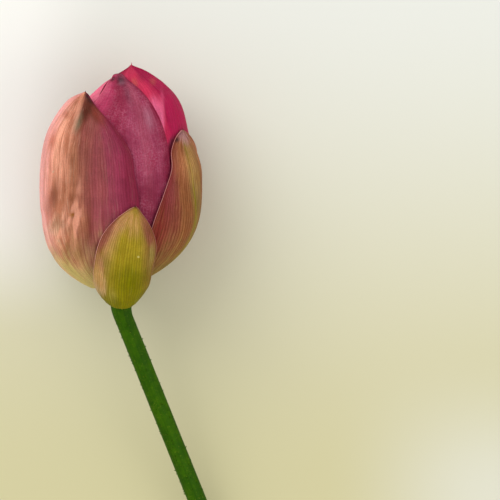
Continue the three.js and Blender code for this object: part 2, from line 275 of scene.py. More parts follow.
def along_spline(points, base, share):
    """Places on the smooth line through points, each span taking the same share."""
    ends = np.array([(azimuth, base if height is None else height) for azimuth, height in points])
    last = len(ends) - 1
    place = np.clip(share * last, 0, last)
    i = np.minimum(place.astype(int), last - 1)
    t = (place - i)[..., None]
    p0, p1 = ends[np.maximum(i - 1, 0)], ends[i]
    p2, p3 = ends[i + 1], ends[np.minimum(i + 2, last)]
    p0 = np.where((i == 0)[..., None], p1, p0)
    v0, v1 = (p2 - p0) / 2, (p3 - p1) / 2
    return (2 * p1 - 2 * p2 + v0 + v1) * t**3 + (3 * p2 - 3 * p1 - 2 * v0 - v1) * t**2 + v0 * t + p1


def petal_chart(petal, side, along):
    """Azimuth and height at a side from -1 to 1 and a share along the petal from 0 to 1."""
    base = base_height(petal)
    share = along - ROW_CROWDING * np.sin(2 * pi * along)
    middle = along_spline(petal.rib, base, share)
    left = along_spline(petal.plus, base, share)
    right = along_spline(petal.minus, base, share)
    v = side[..., None]
    spot = middle + (left - right) * v / 2 + ((left + right) / 2 - middle) * v * v
    return spot[..., 0], spot[..., 1]


PLAIN_MARGIN = [
    (0.8, 0), (0.92, 0.17), (1, 0.36), (1, 0.54), (0.93, 0.7), (0.75, 0.84), (0.42, 0.95), (0.05, 1),
]
CLOSING_MARGIN = [
    (0.8, 0), (0.92, 0.17), (1, 0.38), (1, 0.6), (1, 0.79), (1, 0.92), (0.9, 0.975), (0.12, 1),
]
PLAIN_RIB = [0, 0.17, 0.37, 0.56, 0.73, 0.87, 0.96, 1]


def plain_petal(name, layer, azimuth, half, tip, **more):
    """A petal that is alike on both sides of its midrib. half is its half width in degrees."""
    base = base_height(Petal(name, layer, [], [], [], **more))

    def at(share):
        return base + (tip - base) * share

    margin = PLAIN_MARGIN if layer < CLOSING_LAYER else CLOSING_MARGIN
    rib = [(azimuth, at(share)) for share in PLAIN_RIB]
    plus = [(azimuth + half * side, at(share)) for side, share in margin]
    minus = [(azimuth - half * side, at(share)) for side, share in margin]
    return Petal(name, layer, rib, plus, minus, **more)


SEPAL_FRONT = Petal(
    "sepal_front", -1,
    rib=[(88, None), (88, -41.8), (88, -37.5), (87, -31), (85, -25), (83, -18), (81, -12.8), (79.7, -9.15)],
    plus=[
        (118, None), (125, -41.5), (121, -38), (113, -32), (107, -25), (101, -19.5), (91, -13.5),
        (80.5, -9.3),
    ],
    minus=[(58, None), (53, -41.5), (56, -38), (61, -33), (62, -25), (67, -18.5), (73, -13.5), (79, -9)],
    pouch=7.3, drop=6.5, hug=0.45,
)
OUTER_LEFT = Petal(
    "petal_outer_left", 0,
    rib=[
        (130, None), (131, -34), (131, -15), (131, 5), (130.5, 21), (131, 31.5), (136.5, 38),
        (140.5, 42.15),
    ],
    plus=[(176, None), (190, -34), (194, -15), (194, 5), (192, 19), (187, 30), (174, 37.8), (142.5, 42.2)],
    minus=[(86, None), (79, -34), (76, -13), (79.5, 4), (83, 16), (97, 27.5), (120, 37), (138.5, 42)],
    pouch=4.8, leaning=0.35,
)
OUTER_RIGHT = Petal(
    "petal_outer_right", 0,
    rib=[(10, None), (12, -32), (18, -16), (25, -4), (28, 6), (30, 15), (28.5, 22), (26, 26.05)],
    plus=[(57, None), (68, -32), (65, -17), (58, -4), (51, 7), (48.5, 15.5), (39.5, 22.3), (27, 26)],
    minus=[(-35, None), (-42, -32), (-45, -17), (-43, -4), (-34, 6), (-14, 14), (8, 21.3), (25, 26)],
    tuck=(1.9, 6, 22),
)
MIDDLE_FRONT = Petal(
    "petal_middle_front", 1,
    rib=[(90, None), (91, -30), (92, -8), (93, 12), (95, 27), (98, 38), (106, 46), (118, 51.9)],
    plus=[(135, None), (140, -30), (142, -8), (143, 12), (142, 26), (132, 37), (129, 44.5), (134, 51.3)],
    minus=[(45, None), (46, -30), (47, -8), (50, 12), (52.5, 26), (63, 36), (80, 45), (103, 50.5)],
)
APEX = Petal(
    "petal_apex", 2,
    rib=[(42, None), (40, -30), (40, -8), (40, 14), (42, 32), (48, 45), (66, 54), (91, 57.35)],
    plus=[(85, None), (95, -30), (100, -8), (105, 14), (117, 32), (136, 44), (139, 51.5), (104, 57.3)],
    minus=[(0, None), (-12, -30), (-20, -8), (-22, 14), (-22, 32), (-16, 45), (14, 54), (80, 57.3)],
)
INNER_LEFT = Petal(
    "petal_inner_left", 3,
    rib=[(165, None), (165, -30), (165, -8), (165, 14), (164, 30), (161, 41), (155, 49), (148, 53)],
    plus=[(208, None), (214, -30), (218, -8), (218, 14), (215, 30), (206, 41), (188, 48.5), (151, 52.9)],
    minus=[(122, None), (116, -30), (112, -8), (112, 14), (113, 30), (118, 41), (128, 49), (146, 52.9)],
)
BACK_SEPALS = [
    plain_petal("sepal_back_left", -1, 232, 22, -18, pouch=1.9, drop=1.5),
    plain_petal("sepal_back_right", -1, 284, 20, -22, pouch=1.9, drop=1.5),
]
OUTER_BACK = plain_petal("petal_outer_back", 0, 256, 52, 38, pouch=1.5)
BACK_MIDDLES = [
    plain_petal("petal_middle_back_left", 1, 208, 51, 41, pouch=1.2),
    plain_petal("petal_middle_back_right", 1, 298, 36, 32),
]
BACK_INNERS = [
    plain_petal("petal_inner_back_left", 2, 226, 36, 53),
    plain_petal("petal_inner_back_right", 2, 298, 33, 56),
]
HIDDEN_PETALS = [
    plain_petal("petal_deep_back", 3, 275, 50, 57),
    plain_petal("petal_deep_right", 3, 31, 52, 57),
    plain_petal("petal_core_front", 4, 100, 59, 57),
    plain_petal("petal_core_left", 4, 220, 59, 57),
    plain_petal("petal_core_right", 4, 340, 59, 57),
]
# The petals in the heart of the bud have no solid and ride in the slot of the last hidden one
HEART_SLOT = HIDDEN_PETALS[-1].name
HEART_PETALS = [plain_petal(f"petal_heart_{i}", 5, 40 + 120 * i, 59, 58.1) for i in range(3)]


# Relief of a petal: what stands out from its smooth sheet

RIB_WIDTH = 0.035
SPUR_FROM = 0.985
SPUR_WIDTH = 0.3
# Two sizes of fold: length and width in millimetres, share of the rise, place in the noise
FOLDS = ((8, 2.6, 1.0, 9), (4.5, 1.4, 0.6, 13))


class Relief(NamedTuple):
    """What stands out from a petal. A dent is its centre, its reach along and across its turn, its
    turn and its rise, seen from above. crumple is one too, where the skin is folded."""

    veins: float = 1.0
    vein_count: int = 26
    flare: float = 0.0
    swell: float = 0.12
    spur: float = 0.0
    crumple: tuple = ()
    dents: tuple = ()


def turned_by(angle, x, y):
    turn = radians(angle)
    return x * cos(turn) + y * sin(turn), y * cos(turn) - x * sin(turn)


def bump_at(x, y, dent):
    middle_x, middle_y, length, width, angle, rise = dent
    long, wide = turned_by(angle, x - middle_x, y - middle_y)
    return rise * np.exp(-((long / length) ** 2) - (wide / width) ** 2)


def soft_noise(x, y, seed):
    """Smooth noise from about -1 to 1 over a plane."""
    return np.array([noise.noise((a, b, seed)) for a, b in zip(x, y)])


def creases(relief, x, y, seed):
    """The dents and folds of a dried petal."""
    rise = np.zeros_like(x)
    for dent in relief.dents:
        rise += bump_at(x, y, dent)
    if relief.crumple:
        long, wide = turned_by(relief.crumple[4], x, y)
        folds = sum(
            share * soft_noise(long / length, wide / width, seed + salt)
            for length, width, share, salt in FOLDS
        )
        rise += bump_at(x, y, relief.crumple) * folds
    return rise


def petal_relief(petal, relief, side, along, seed, sizes):
    """Midrib, veins, slow swelling and flared margins."""
    ends = smooth_share(along, 0.02, 0.15) * (1 - smooth_share(along, 0.86, 0.99))
    inside = 1 - smooth_share(np.abs(side), 0.8, 1)
    rise = sizes.rib_height / MM * np.exp(-((side / RIB_WIDTH) ** 2)) * ends
    wander = 0.5 * soft_noise(side * 3, along * 2.5, seed)
    ripple = np.cos(2 * pi * (side * relief.vein_count / 2 + wander))
    rise += relief.veins * sizes.vein_height / MM * ripple * ends * inside
    rise += relief.swell * soft_noise(side * 2.2, along * 2.8, seed + 5) * ends
    rise += relief.flare * smooth_share(np.abs(side), 0.9, 1) * ends
    return rise


# Building a petal

def new_piece(name, kind, **settings):
    """A new primitive, alone in the selection."""
    bpy.ops.object.select_all(action="DESELECT")
    getattr(bpy.ops.mesh, f"primitive_{kind}_add")(**settings)
    piece = bpy.context.object
    piece.name = piece.data.name = name
    return piece


def select_only(piece):
    bpy.ops.object.select_all(action="DESELECT")
    piece.select_set(True)
    bpy.context.view_layer.objects.active = piece


def apply_modifiers(piece):
    select_only(piece)
    for modifier in list(piece.modifiers):
        bpy.ops.object.modifier_apply(modifier=modifier.name)


def finish_piece(piece, material, slot, *nodes):
    """Gives a piece its material, stands it for its CAD nodes and joins it to the body."""
    piece.data.materials.clear()
    piece.data.materials.append(material)
    select_only(piece)
    bpy.ops.object.shade_smooth()
    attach(piece, ROOT)
    if nodes:
        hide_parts(*nodes)


def build_petal(petal, relief, material, columns, rows):
    """A grid bent over the egg between the petal's margins, and thickened, less so at its rim."""
    sizes = bpy.context.scene.lotus_sizes
    seed = sum(map(ord, petal.name)) * 0.37
    piece = new_piece(
        petal.name + "_dressed", "grid", x_subdivisions=columns, y_subdivisions=rows, size=2
    )
    mesh = piece.data
    flat = np.empty(len(mesh.vertices) * 3)
    mesh.vertices.foreach_get("co", flat)
    flat = flat.reshape(-1, 3)
    side = -flat[:, 0]
    along = (flat[:, 1] + 1) / 2
    azimuth, height = petal_chart(petal, side, along)
    depth = petal_depth(petal, height, side)
    smooth = egg_point(azimuth, height, depth, petal.leaning)
    crease = creases(relief, smooth[:, 0], smooth[:, 1], seed)
    rise = petal_relief(petal, relief, side, along, seed, sizes) + crease
    spots = egg_point(azimuth, height, depth - rise, petal.leaning)
    spots[:, 1] += relief.spur * smooth_share(along, SPUR_FROM, 1) * np.exp(-((side / SPUR_WIDTH) ** 2))
    mesh.vertices.foreach_set("co", (spots * MM).ravel())
    store(mesh, "margin", margin_distance(petal, side, along))
    store(mesh, "crease", crease)
    thin = piece.vertex_groups.new(name="thickness")
    share = 1 - (1 - sizes.margin_thickness) * np.maximum(
        smooth_share(np.abs(side), 0.8, 1), smooth_share(along, 0.88, 1)
    )
    for index, weight in enumerate(share):
        thin.add([index], float(weight), "REPLACE")
    mesh.update()
    solid = piece.modifiers.new("Thickness", "SOLIDIFY")
    solid.thickness = PETAL_THICKNESS * MM
    solid.offset = -1
    solid.vertex_group = "thickness"
    apply_modifiers(piece)
    piece.vertex_groups.clear()
    if petal.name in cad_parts:
        finish_piece(piece, material, petal.name, petal.name)
    else:
        finish_piece(piece, material, HEART_SLOT)


def build_petals(petals, relief, name, finish, columns, rows):
    """Petals that share their relief, material and grid."""
    material = petal_material(name, finish)
    for petal in petals:
        build_petal(petal, relief, material, columns, rows)


def store(mesh, name, values):
    """Keeps one number for each point of a mesh, for its material to read."""
    mesh.attributes.new(name, "FLOAT", "POINT").data.foreach_set("value", values)


def margin_distance(petal, side, along):
    """Each point's distance to the nearer margin, in millimetres."""
    near, far = petal_chart(petal, np.sign(side) + (side == 0), along), petal_chart(petal, side, along)
    depth = petal_depth(petal, far[1], side)
    return np.linalg.norm(
        egg_point(*near, depth, petal.leaning) - egg_point(*far, depth, petal.leaning), axis=-1
    )


# Materials

PETAL_SPECULAR = 0.035
STALK_SPECULAR = 0.06


class Nodes:
    """The nodes of one material, each made and wired by a short call."""

    def __init__(self, name):
        self.material = bpy.data.materials.new(name)
        self.material.use_nodes = True
        self.tree = self.material.node_tree
        self.shader = self.tree.nodes["Principled BSDF"]

    def shade(self, key, alpha=1):
        return (*getattr(bpy.context.scene.lotus_colours, key), alpha)

    def feed(self, socket, value):
        """Puts a link, a number or the key of a colour into a socket."""
        if isinstance(value, str):
            value = self.shade(value)
        if isinstance(value, bpy.types.NodeSocket):
            self.tree.links.new(value, socket)
        elif value is not None:
            socket.default_value = value

    def node(self, kind, *inputs, **settings):
        node = self.tree.nodes.new("ShaderNode" + kind)
        for key, value in settings.items():
            setattr(node, key, value)
        for socket, value in zip(node.inputs, inputs):
            self.feed(socket, value)
        return node

    def math(self, operation, *inputs):
        return self.node("Math", *inputs, operation=operation).outputs[0]

    def times(self, *inputs):
        return self.math("MULTIPLY", *inputs)

    def mix(self, share, under, over, blend="MIX"):
        node = self.node("Mix", data_type="RGBA", blend_type=blend)
        self.feed(node.inputs[0], share)
        self.feed(node.inputs[6], under)
        self.feed(node.inputs[7], over)
        return node.outputs[2]

    def band(self, value, low, high, start=0.0, end=1.0):
        """start below low and end above high, with a smooth change between them."""
        ends = (low, high, start, end)
        return self.node("MapRange", value, *ends, interpolation_type="SMOOTHSTEP").outputs[0]

    def flesh(self, skin, roughness, subsurface, depth):
        """The look of the skin. Its light goes to a depth in millimetres."""
        inputs = self.shader.inputs
        self.feed(inputs["Base Color"], skin)
        self.feed(inputs["Roughness"], roughness)
        inputs["Subsurface Weight"].default_value = subsurface
        inputs["Subsurface Scale"].default_value = depth * MM

    def bump(self, height, strength, distance):
        node = self.node("Bump", strength, distance * MM, None, height)
        self.feed(self.shader.inputs["Normal"], node.outputs[0])

    def mapped(self, vector, scale, location=(0, 0, 0)):
        return self.node("Mapping", vector, location, (0, 0, 0), scale).outputs[0]

    def noise(self, vector, scale, detail=2.0, roughness=0.5):
        return self.node("TexNoise", vector, None, scale, detail, roughness).outputs[0]

    def ramp(self, value, stops):
        """The colour and the alpha at value, from stops of (place, (red, green, blue, alpha))."""
        node = self.node("ValToRGB", value)
        elements = node.color_ramp.elements
        while len(elements) < len(stops):
            elements.new(1)
        for element, (place, shade) in zip(elements, stops):
            element.position = place
            element.color = shade
        return node.outputs[0], node.outputs[1]

    def patch(self, vector, patch, ragged):
        """1 inside a patch and 0 outside it, with a streaky edge."""
        place = (patch.x * MM, patch.y * MM, 0)
        reach = (patch.length * MM, patch.width * MM, 1)
        turn = (0, 0, radians(patch.turn))
        node = self.node("Mapping", vector, place, turn, reach, vector_type="TEXTURE")
        length = self.node("VectorMath", node.outputs[0], operation="LENGTH").outputs["Value"]
        ragged = self.math("SUBTRACT", ragged, 0.5)
        length = self.math("MULTIPLY_ADD", ragged, patch.softness, length)
        return self.band(length, 1 - patch.softness, 1.0, 1.0, 0.0)


class Patch(NamedTuple):
    """A stain of one colour, with its centre and its reach along and across its turn, from above."""

    shade: str
    x: float
    y: float
    length: float
    width: float
    turn: float = 0.0
    strength: float = 1.0
    softness: float = 1.0


# A pale edge line is a painted highlight where light catches and shines through a thin margin
class Edge(NamedTuple):
    """A line of colour along a margin: its shade, its width in millimetres, its strength and how
    much darker the rim inside it is."""

    shade: str = "cream"
    width: float = 0.45
    strength: float = 0.4
    rim: float = 0.3


# What the dark streaks multiply the skin by. The painted shade in the hollows of the folds and the darker
# rims inside the margins use it too
DRY_STREAK = (0.5, 0.4, 0.32)
GREEN_STREAK = (0.5, 0.52, 0.15)
ROSE_STREAK = (0.66, 0.42, 0.5)


class Finish(NamedTuple):
    """How a petal is coloured. Each stop of across is a place from the left margin to the right, the
    shade there and how strong the dark streaks are in it."""

    across: list
    base: str = "straw"
    base_end: float = 0.2
    base_calm: float = 0.0
    tip: str = "slate"
    tip_start: float = 0.97
    streak: tuple = ROSE_STREAK
    streak_count: float = 22.0
    thread: str = "cream"
    threads: float = 0.15
    lines: float = 0.0
    line_count: float = 30.0
    frost: float = 0.0
    # The shade of the painted highlight on the ridges of the folds
    ridge_highlight: str = "salmon"
    left: Edge = Edge()
    right: Edge = Edge()
    patches: list = ()


def petal_material(name, finish):
    n = Nodes(name)
    places = n.node("TexCoord")
    uv, spot = places.outputs["UV"], places.outputs["Object"]
    part = n.node("SeparateXYZ", uv)
    across, along = part.outputs[0], part.outputs[1]
    margin = n.node("Attribute", attribute_name="margin").outputs["Fac"]
    crease = n.node("Attribute", attribute_name="crease").outputs["Fac"]

    # Streaks run from the base to the tip, and a slow wander bends them
    wander = n.noise(n.mapped(uv, (7, 8, 1)), 1.0, 3)
    bent_across = n.math("MULTIPLY_ADD", wander, 0.055, across)
    bent = n.node("CombineXYZ", bent_across, along, 0.0).outputs[0]
    count = finish.streak_count
    streak = n.noise(n.mapped(bent, (count * 1.3, 4.5, 1)), 1.0, 4, 0.75)
    broad = n.noise(n.mapped(bent, (count * 0.6, 1.8, 1), (5, 2, 0)), 1.0, 2)
    hair = n.noise(n.mapped(bent, (count * 7, 12, 1), (7, 0, 0)), 1.0, 2)
    cloud = n.noise(spot, 110.0, 3, 0.6)
    grain = n.noise(spot, 1500.0, 2)

    # Shades across the petal, then its base, its tip and its stains
    shift = n.math("MULTIPLY_ADD", broad, 0.18, n.math("SUBTRACT", across, 0.09))
    skin, depth = n.ramp(shift, [(place, n.shade(key, dark)) for place, key, dark in finish.across])
    ragged = n.math("MULTIPLY_ADD", n.math("SUBTRACT", streak, 0.5), 0.3, along)
    ragged = n.math("MULTIPLY_ADD", n.math("SUBTRACT", cloud, 0.5), 0.16, ragged)
    low = n.band(ragged, finish.base_end * 0.25, finish.base_end, 1.0, 0.0)
    skin = n.mix(low, skin, finish.base)
    depth = n.times(depth, n.math("MULTIPLY_ADD", low, -finish.base_calm, 1.0))
    for patch in (Patch(*row) for row in finish.patches):
        mask = n.patch(spot, patch, streak)
        skin = n.mix(n.times(mask, patch.strength), skin, patch.shade)
    skin = n.mix(n.band(along, finish.tip_start, 0.995), skin, finish.tip)

    # Dark streaks and lines, pale threads, and painted shade in the hollows of the folds with a painted
    # highlight on their ridges
    dim = n.mix(1.0, skin, (*finish.streak, 1), "MULTIPLY")
    dark = n.times(n.band(streak, 0.39, 0.61), depth)
    skin = n.mix(dark, skin, dim)
    if finish.lines:
        wave = n.math("SINE", n.times(bent_across, finish.line_count * 2 * pi))
        line = n.times(n.band(wave, -0.3, 1.0), n.band(hair, 0.35, 0.6, 0.3, 1.0))
        skin = n.mix(n.times(line, finish.lines), skin, dim)
    thread = n.times(n.band(hair, 0.55, 0.72), n.band(broad, 0.65, 0.4))
    thread = n.times(thread, depth)
    skin = n.mix(n.times(thread, finish.threads), skin, finish.thread)
    # Painted shade in the hollows of the folds, then a painted highlight on their ridges
    skin = n.mix(n.band(crease, 0.0, -0.5, 0.0, 0.75), skin, dim)
    skin = n.mix(n.band(crease, 0.05, 0.6, 0.0, 0.55), skin, finish.ridge_highlight)
    if finish.frost:
        speckle = n.noise(spot, 1300.0, 2, 0.7)
        frost = n.times(n.band(speckle, 0.38, 0.66), n.band(cloud, 0.3, 0.65))
        skin = n.mix(n.times(frost, finish.frost), skin, "bloom")
    skin = n.mix(1.0, skin, n.band(cloud, 0.3, 0.7, 0.88, 1.09), "MULTIPLY")
    skin = n.mix(1.0, skin, n.band(grain, 0.3, 0.7, 0.93, 1.07), "MULTIPLY")
    on_left = n.math("LESS_THAN", across, 0.5)
    on_right = n.math("SUBTRACT", 1.0, on_left)
    # Each margin: a darker rim inside it, then a line of the edge's shade; a pale line is a painted
    # highlight
    for here, edge in ((on_left, finish.left), (on_right, finish.right)):
        inner = n.band(margin, edge.width, edge.width * 4, edge.rim, 0.0)
        skin = n.mix(n.times(inner, here), skin, dim)
        line = n.band(margin, edge.width * 0.4, edge.width, edge.strength, 0.0)
        skin = n.mix(n.times(line, here), skin, edge.shade)

    n.flesh(skin, n.band(cloud, 0.3, 0.7, 0.46, 0.62), 0.08, 1.0)
    n.shader.inputs["Subsurface Radius"].default_value = (1.0, 0.3, 0.25)
    n.shader.inputs["Specular IOR Level"].default_value = PETAL_SPECULAR
    height = n.math("MULTIPLY_ADD", hair, 0.35, streak)
    n.bump(n.math("MULTIPLY_ADD", grain, 0.12, height), 0.6, 0.5)
    return n.material


SEPAL_FRONT_FINISH = Finish(
    across=[
        (0, "brick", 0.3), (0.08, "russet", 0.35), (0.16, "clay", 0.35), (0.26, "buff", 0.4),
        (0.36, "olive", 0.45), (0.66, "olive", 0.45), (0.76, "bronze", 0.4), (0.86, "russet", 0.4),
        (1, "brick", 0.4),
    ],
    base="leaf", base_end=0.7, streak=GREEN_STREAK, streak_count=11, thread="straw", threads=0.2,
    ridge_highlight="olive", lines=0.7, line_count=26, left=Edge("blush", 0.35, 0.55, 0.5),
    right=Edge("blush", 0.3, 0.25, 0.6),
    patches=[
        ("buff", 5.5, -16.5, 9, 9.5), ("clay", -1, -19, 11, 3, 45, 0.6),
        ("brick", -6.5, -23, 13, 2.6, 62, 0.75, 0.8), ("brick", 12.6, -22, 13, 2.6, -70, 0.6, 0.8),
        ("clay", -9.4, -36, 9, 2.8, 97, 0.85, 0.7), ("cream", -9.8, -43.5, 8, 4.2, 107, 0.8, 0.7),
        # The straw strip at (14.4, -30) is a painted highlight
        ("straw", -3.6, -49, 5, 3, 100, 0.2), ("straw", 14.4, -30, 7, 2.2, 84, 0.35),
        ("buff", -9.8, -41.5, 10, 3.6, 107, 0.9, 0.7), ("khaki", 13.6, -33, 9, 2.6, 84, 0.7),
        ("leaf", 5, -44, 15, 8.5, 90, 0.9), ("umber", 7, -9.6, 1.8, 1.2, 0, 0.95),
        ("straw", 8.1, -32, 0.7, 0.6, 0, 0.6, 0.4),
    ],
)
OUTER_LEFT_FINISH = Finish(
    across=[
        # The blush at the left is partly painted light on the flank that faces the light
        (0, "blush", 0.2), (0.24, "blush", 0.45), (0.31, "coral", 0.8), (0.38, "salmon", 0.95),
        (0.46, "peach", 0.95), (0.54, "tan", 0.75), (0.61, "brown", 0.5), (0.69, "brick", 0.35),
        (0.79, "rose", 0.28), (0.89, "wine", 0.28), (1, "garnet", 0.3),
    ],
    base_end=0.36, base_calm=0.75, streak=DRY_STREAK, threads=0.4, lines=0.45, line_count=52,
    left=Edge("blush", 0.5, 0.5), right=Edge("garnet", 1, 0.6),
    patches=[
        ("brick", -13.5, 29, 17, 8, 66, 0.75, 0.8), ("umber", -15.2, 35.5, 11, 3.8, 70, 1, 0.7),
        ("umber", -12.4, 34, 8, 3.2, 112, 0.95, 0.7), ("moss", -19, 28.5, 7, 3, 74, 0.8),
        ("slate", -14.9, 40.6, 2.4, 1.6, 60, 0.8), ("slate", -13.6, 38.6, 4.4, 2.2, 112, 0.6),
        ("oxblood", -9.8, 31.5, 9, 3, 122, 0.6, 0.7), ("salmon", -23.4, 32, 10, 5, 62, 0.5),
        ("rust", -19.8, 38.4, 7, 3.6, 50, 0.5), ("tan", -20.5, 3, 19, 6.5, 90, 0.6),
        ("tan", -22, -14, 17, 8, 84, 0.85), ("rust", -24.6, 32.4, 3, 2.2, 60, 0.6),
        # The umber at (-29.6, -4.5) over a hollow is dried brown and partly painted shade; the peach and
        # cream near (-28, -18) over raised folds are partly painted highlight
        ("rust", -22.6, 27.2, 3.4, 1.6, 70, 0.5), ("umber", -29.6, -4.5, 11, 4, 88, 0.6),
        ("peach", -26.5, -17, 9, 5, 70, 0.4), ("khaki", -23.6, -30, 9, 4.5, 84, 0.5),
        # The rose at (-7, -12) is painted shadow beside the sepal's standing margin
        ("rose", -14.5, -25, 12, 5.5, 82, 0.35), ("rose", -7, -12, 12, 7, 70, 0.5),
        ("amber", -21.4, -13, 2.2, 1.7, 60, 0.9), ("brick", -12.5, -25, 12, 3.2, 84, 0.5),
        ("russet", -19.6, -31, 11, 5, 80, 0.55), ("rust", -30.8, 20, 7, 2.6, 75, 0.75),
        ("rust", -21.5, 32, 5, 3, 60, 0.4), ("cream", -28.4, -18, 9, 5.5, 80, 0.7),
        ("cream", -31, -19, 6, 4, 80, 0.45), ("brown", -21.6, -27, 5, 3.4, 80, 0.3),
        ("brick", -12.6, -35, 6, 3, 80, 0.5), ("tan", -17, -18, 10, 4.5, 84, 0.8),
        ("russet", -25.6, -4, 8, 3, 85, 0.4), ("straw", -22, -38.5, 17, 3.8, -43),
        # The garnet at (-2.4, -18.4) and (-10.2, -28) is painted shadow along the sepal's margin
        ("garnet", -2.4, -18.4, 15, 3.2, 48, 0.5), ("garnet", -10.2, -28, 7, 1.4, 78, 0.7),
        ("cream", -30.2, 6.3, 0.9, 0.6, 60, 0.6, 0.5), ("cream", -28, -24.8, 0.9, 0.7, 0, 0.5, 0.5),
    ],
)
OUTER_RIGHT_FINISH = Finish(
    across=[
        (0, "oxblood", 0.3), (0.1, "oxblood", 0.4), (0.22, "chestnut", 0.5), (0.32, "sienna", 0.5),
        (0.4, "sienna", 0.5), (0.46, "khaki", 0.6), (0.49, "leaf", 0.6), (0.52, "khaki", 0.5),
        (0.7, "sienna", 0.5), (1, "tan", 0.4),
    ],
    base="khaki", base_end=0.34, streak=(0.56, 0.44, 0.38), streak_count=16, threads=0.8, thread="buff",
    lines=1, line_count=32, left=Edge("blush", 0.3, 0.4, 0.6), right=Edge("tan", 0.5, 0.3),
    patches=[
        ("apricot", 26.6, 10, 17, 5.5, 100, 0.4), ("rose", 22.6, -4, 17, 5, 88, 0.4),
        ("buff", 32.4, 13, 13, 3.4, 105, 0.6), ("buff", 31.5, 8, 17, 4, 100, 0.6),
        ("lilac", 28, 22.5, 7, 3.4, 118, 0.9), ("slate", 25.4, 20.5, 2, 1.4, 60, 0.85),
    ],
)
MIDDLE_FRONT_FINISH = Finish(
    across=[
        (0.28, "magenta", 0.5), (0.42, "plum", 0.5), (0.52, "plum", 0.5), (0.64, "mauve", 0.5),
        (0.76, "dusk", 0.5), (0.88, "mauve", 0.5), (1, "crimson", 0.4),
    ],
    base="garnet", base_end=0.5, streak_count=24, threads=0.1, thread="bloom",
    frost=0.28, ridge_highlight="bloom", left=Edge("pink", 0.5, 0.6), right=Edge("crimson", 0.6, 0.3), lines=0.4,
    line_count=44,
    patches=[
        # The garnet at (20.6, 12) and the slate at (22.6, 18.5) are painted shadow in the crevice under the
        # right petal's standing margin
        ("garnet", 20.6, 12, 11, 2.2, 78, 0.7), ("slate", 22.6, 18.5, 6, 1.6, 95, 0.6),
        ("dusk", 4.5, 40, 12, 4, 112, 0.6), ("pink", -9.2, 41.5, 10, 4, 50, 0.95),
        # The garnet at (12, -8) is painted shade low down, where the outer petals close over this petal
        ("magenta", -7, 40, 9, 5, 60, 0.7), ("garnet", 12, -8, 15, 10, 90, 0.75),
        # The garnet at (-3.6, 48.4) and the slate at (-3.9, 48) are painted shade in the hollow under the
        # hooded tip; the slate at (0.2, 47.4) is the dried tip
        ("slate", 0.2, 47.4, 4.2, 2.8, 120, 0.85), ("garnet", -3.6, 48.4, 3, 1.5, 20, 0.9),
        ("slate", -3.9, 48, 2.2, 1.3, 20, 0.7), ("slate", 3.2, 41, 9, 2.6, 108, 0.35),
        ("bloom", 12.8, 30, 9, 3.6, 108, 0.65), ("crimson", 14.4, 11, 8, 4, 90, 0.5),
    ],
)
APEX_FINISH = Finish(
    across=[
        (0, "crimson", 0.3), (0.25, "scarlet", 0.35), (0.4, "scarlet", 0.35), (0.5, "ruby", 0.35),
        (0.62, "ruby", 0.3),
    ],
    tip="scarlet", tip_start=0.9, threads=0.08, thread="pink", ridge_highlight="pale",
    lines=0.35, line_count=40, left=Edge("garnet", 0.5, 0.5), right=Edge("garnet", 0.6, 0.7),
    patches=[
        # The pale patches are painted light shining through the petal where it is a single layer; the
        # sharp-edged ruby beside them is painted shade where another petal lies behind
        ("pale", 16.2, 32.5, 11, 5, 97, 0.8, 0.7), ("pale", 17.4, 29, 8, 3, 97, 0.7, 0.6),
        ("ruby", 24.4, 35, 18, 5, 100, 1, 0.12), ("rust", 14.5, 47, 3, 2.4, 110, 0.35),
        # The garnet at (23.8, 19) and the slate at (22.8, 19.5) are painted shadow in the crevice under the
        # right petal's margin
        ("garnet", 23.8, 19, 9, 2.8, 62, 0.9), ("slate", 22.8, 19.5, 5, 1.8, 75, 0.6),
        ("crimson", 9.5, 49, 4, 3, 120, 0.5), ("rust", 6.4, 46.5, 3.6, 2.2, 110, 0.45),
        ("slate", 5.2, 54.9, 0.9, 0.9, 0, 1, 0.5),
    ],
)
INNER_LEFT_FINISH = Finish(
    across=[(0, "pink", 0.3), (1, "pink", 0.3)], threads=0.2,
)
BACK_OUTER_FINISH = Finish(
    across=[
        (0, "apricot", 0.8), (0.2, "tan", 0.7), (0.45, "brown", 0.5), (0.6, "brick", 0.4),
        (0.8, "tan", 0.6), (1, "peach", 0.8),
    ],
    base_end=0.4, streak=DRY_STREAK, threads=0.2,
)
BACK_MIDDLE_FINISH = Finish(
    across=[(0, "magenta", 0.4), (0.3, "plum", 0.5), (0.6, "mauve", 0.5), (1, "plum", 0.5)],
    frost=0.25, threads=0.12, thread="bloom",
)
BACK_INNER_FINISH = Finish(
    across=[(0, "crimson", 0.4), (0.5, "ruby", 0.4), (1, "magenta", 0.4)],
    threads=0.1, thread="pink",
)
BACK_SEPAL_FINISH = Finish(
    across=[
        (0, "clay", 0.4), (0.25, "buff", 0.5), (0.5, "olive", 0.6), (0.75, "olive", 0.6),
        (1, "clay", 0.4),
    ],
    base="leaf", base_end=0.7, streak=GREEN_STREAK, streak_count=11, lines=0.7, line_count=18,
    left=Edge("blush"), right=Edge("blush"),
)
HIDDEN_FINISH = Finish(
    across=[(0, "pale", 0.3), (1, "pink", 0.3)], threads=0.1,
)


class LOTUS_OT_sepals(bpy.types.Operator):
    """Makes the green sepals round the base of the bud"""

    bl_idname = "lotus.sepals"
    bl_label = "Sepals"

    def execute(self, context):
        relief = Relief(veins=1.6, vein_count=17, swell=0.2, spur=0.5)
        build_petals([SEPAL_FRONT], relief, "sepal_front", SEPAL_FRONT_FINISH, 90, 130)
        relief = Relief(veins=1.4, vein_count=15)
        build_petals(BACK_SEPALS, relief, "sepal_back", BACK_SEPAL_FINISH, 60, 90)
        return {"FINISHED"}


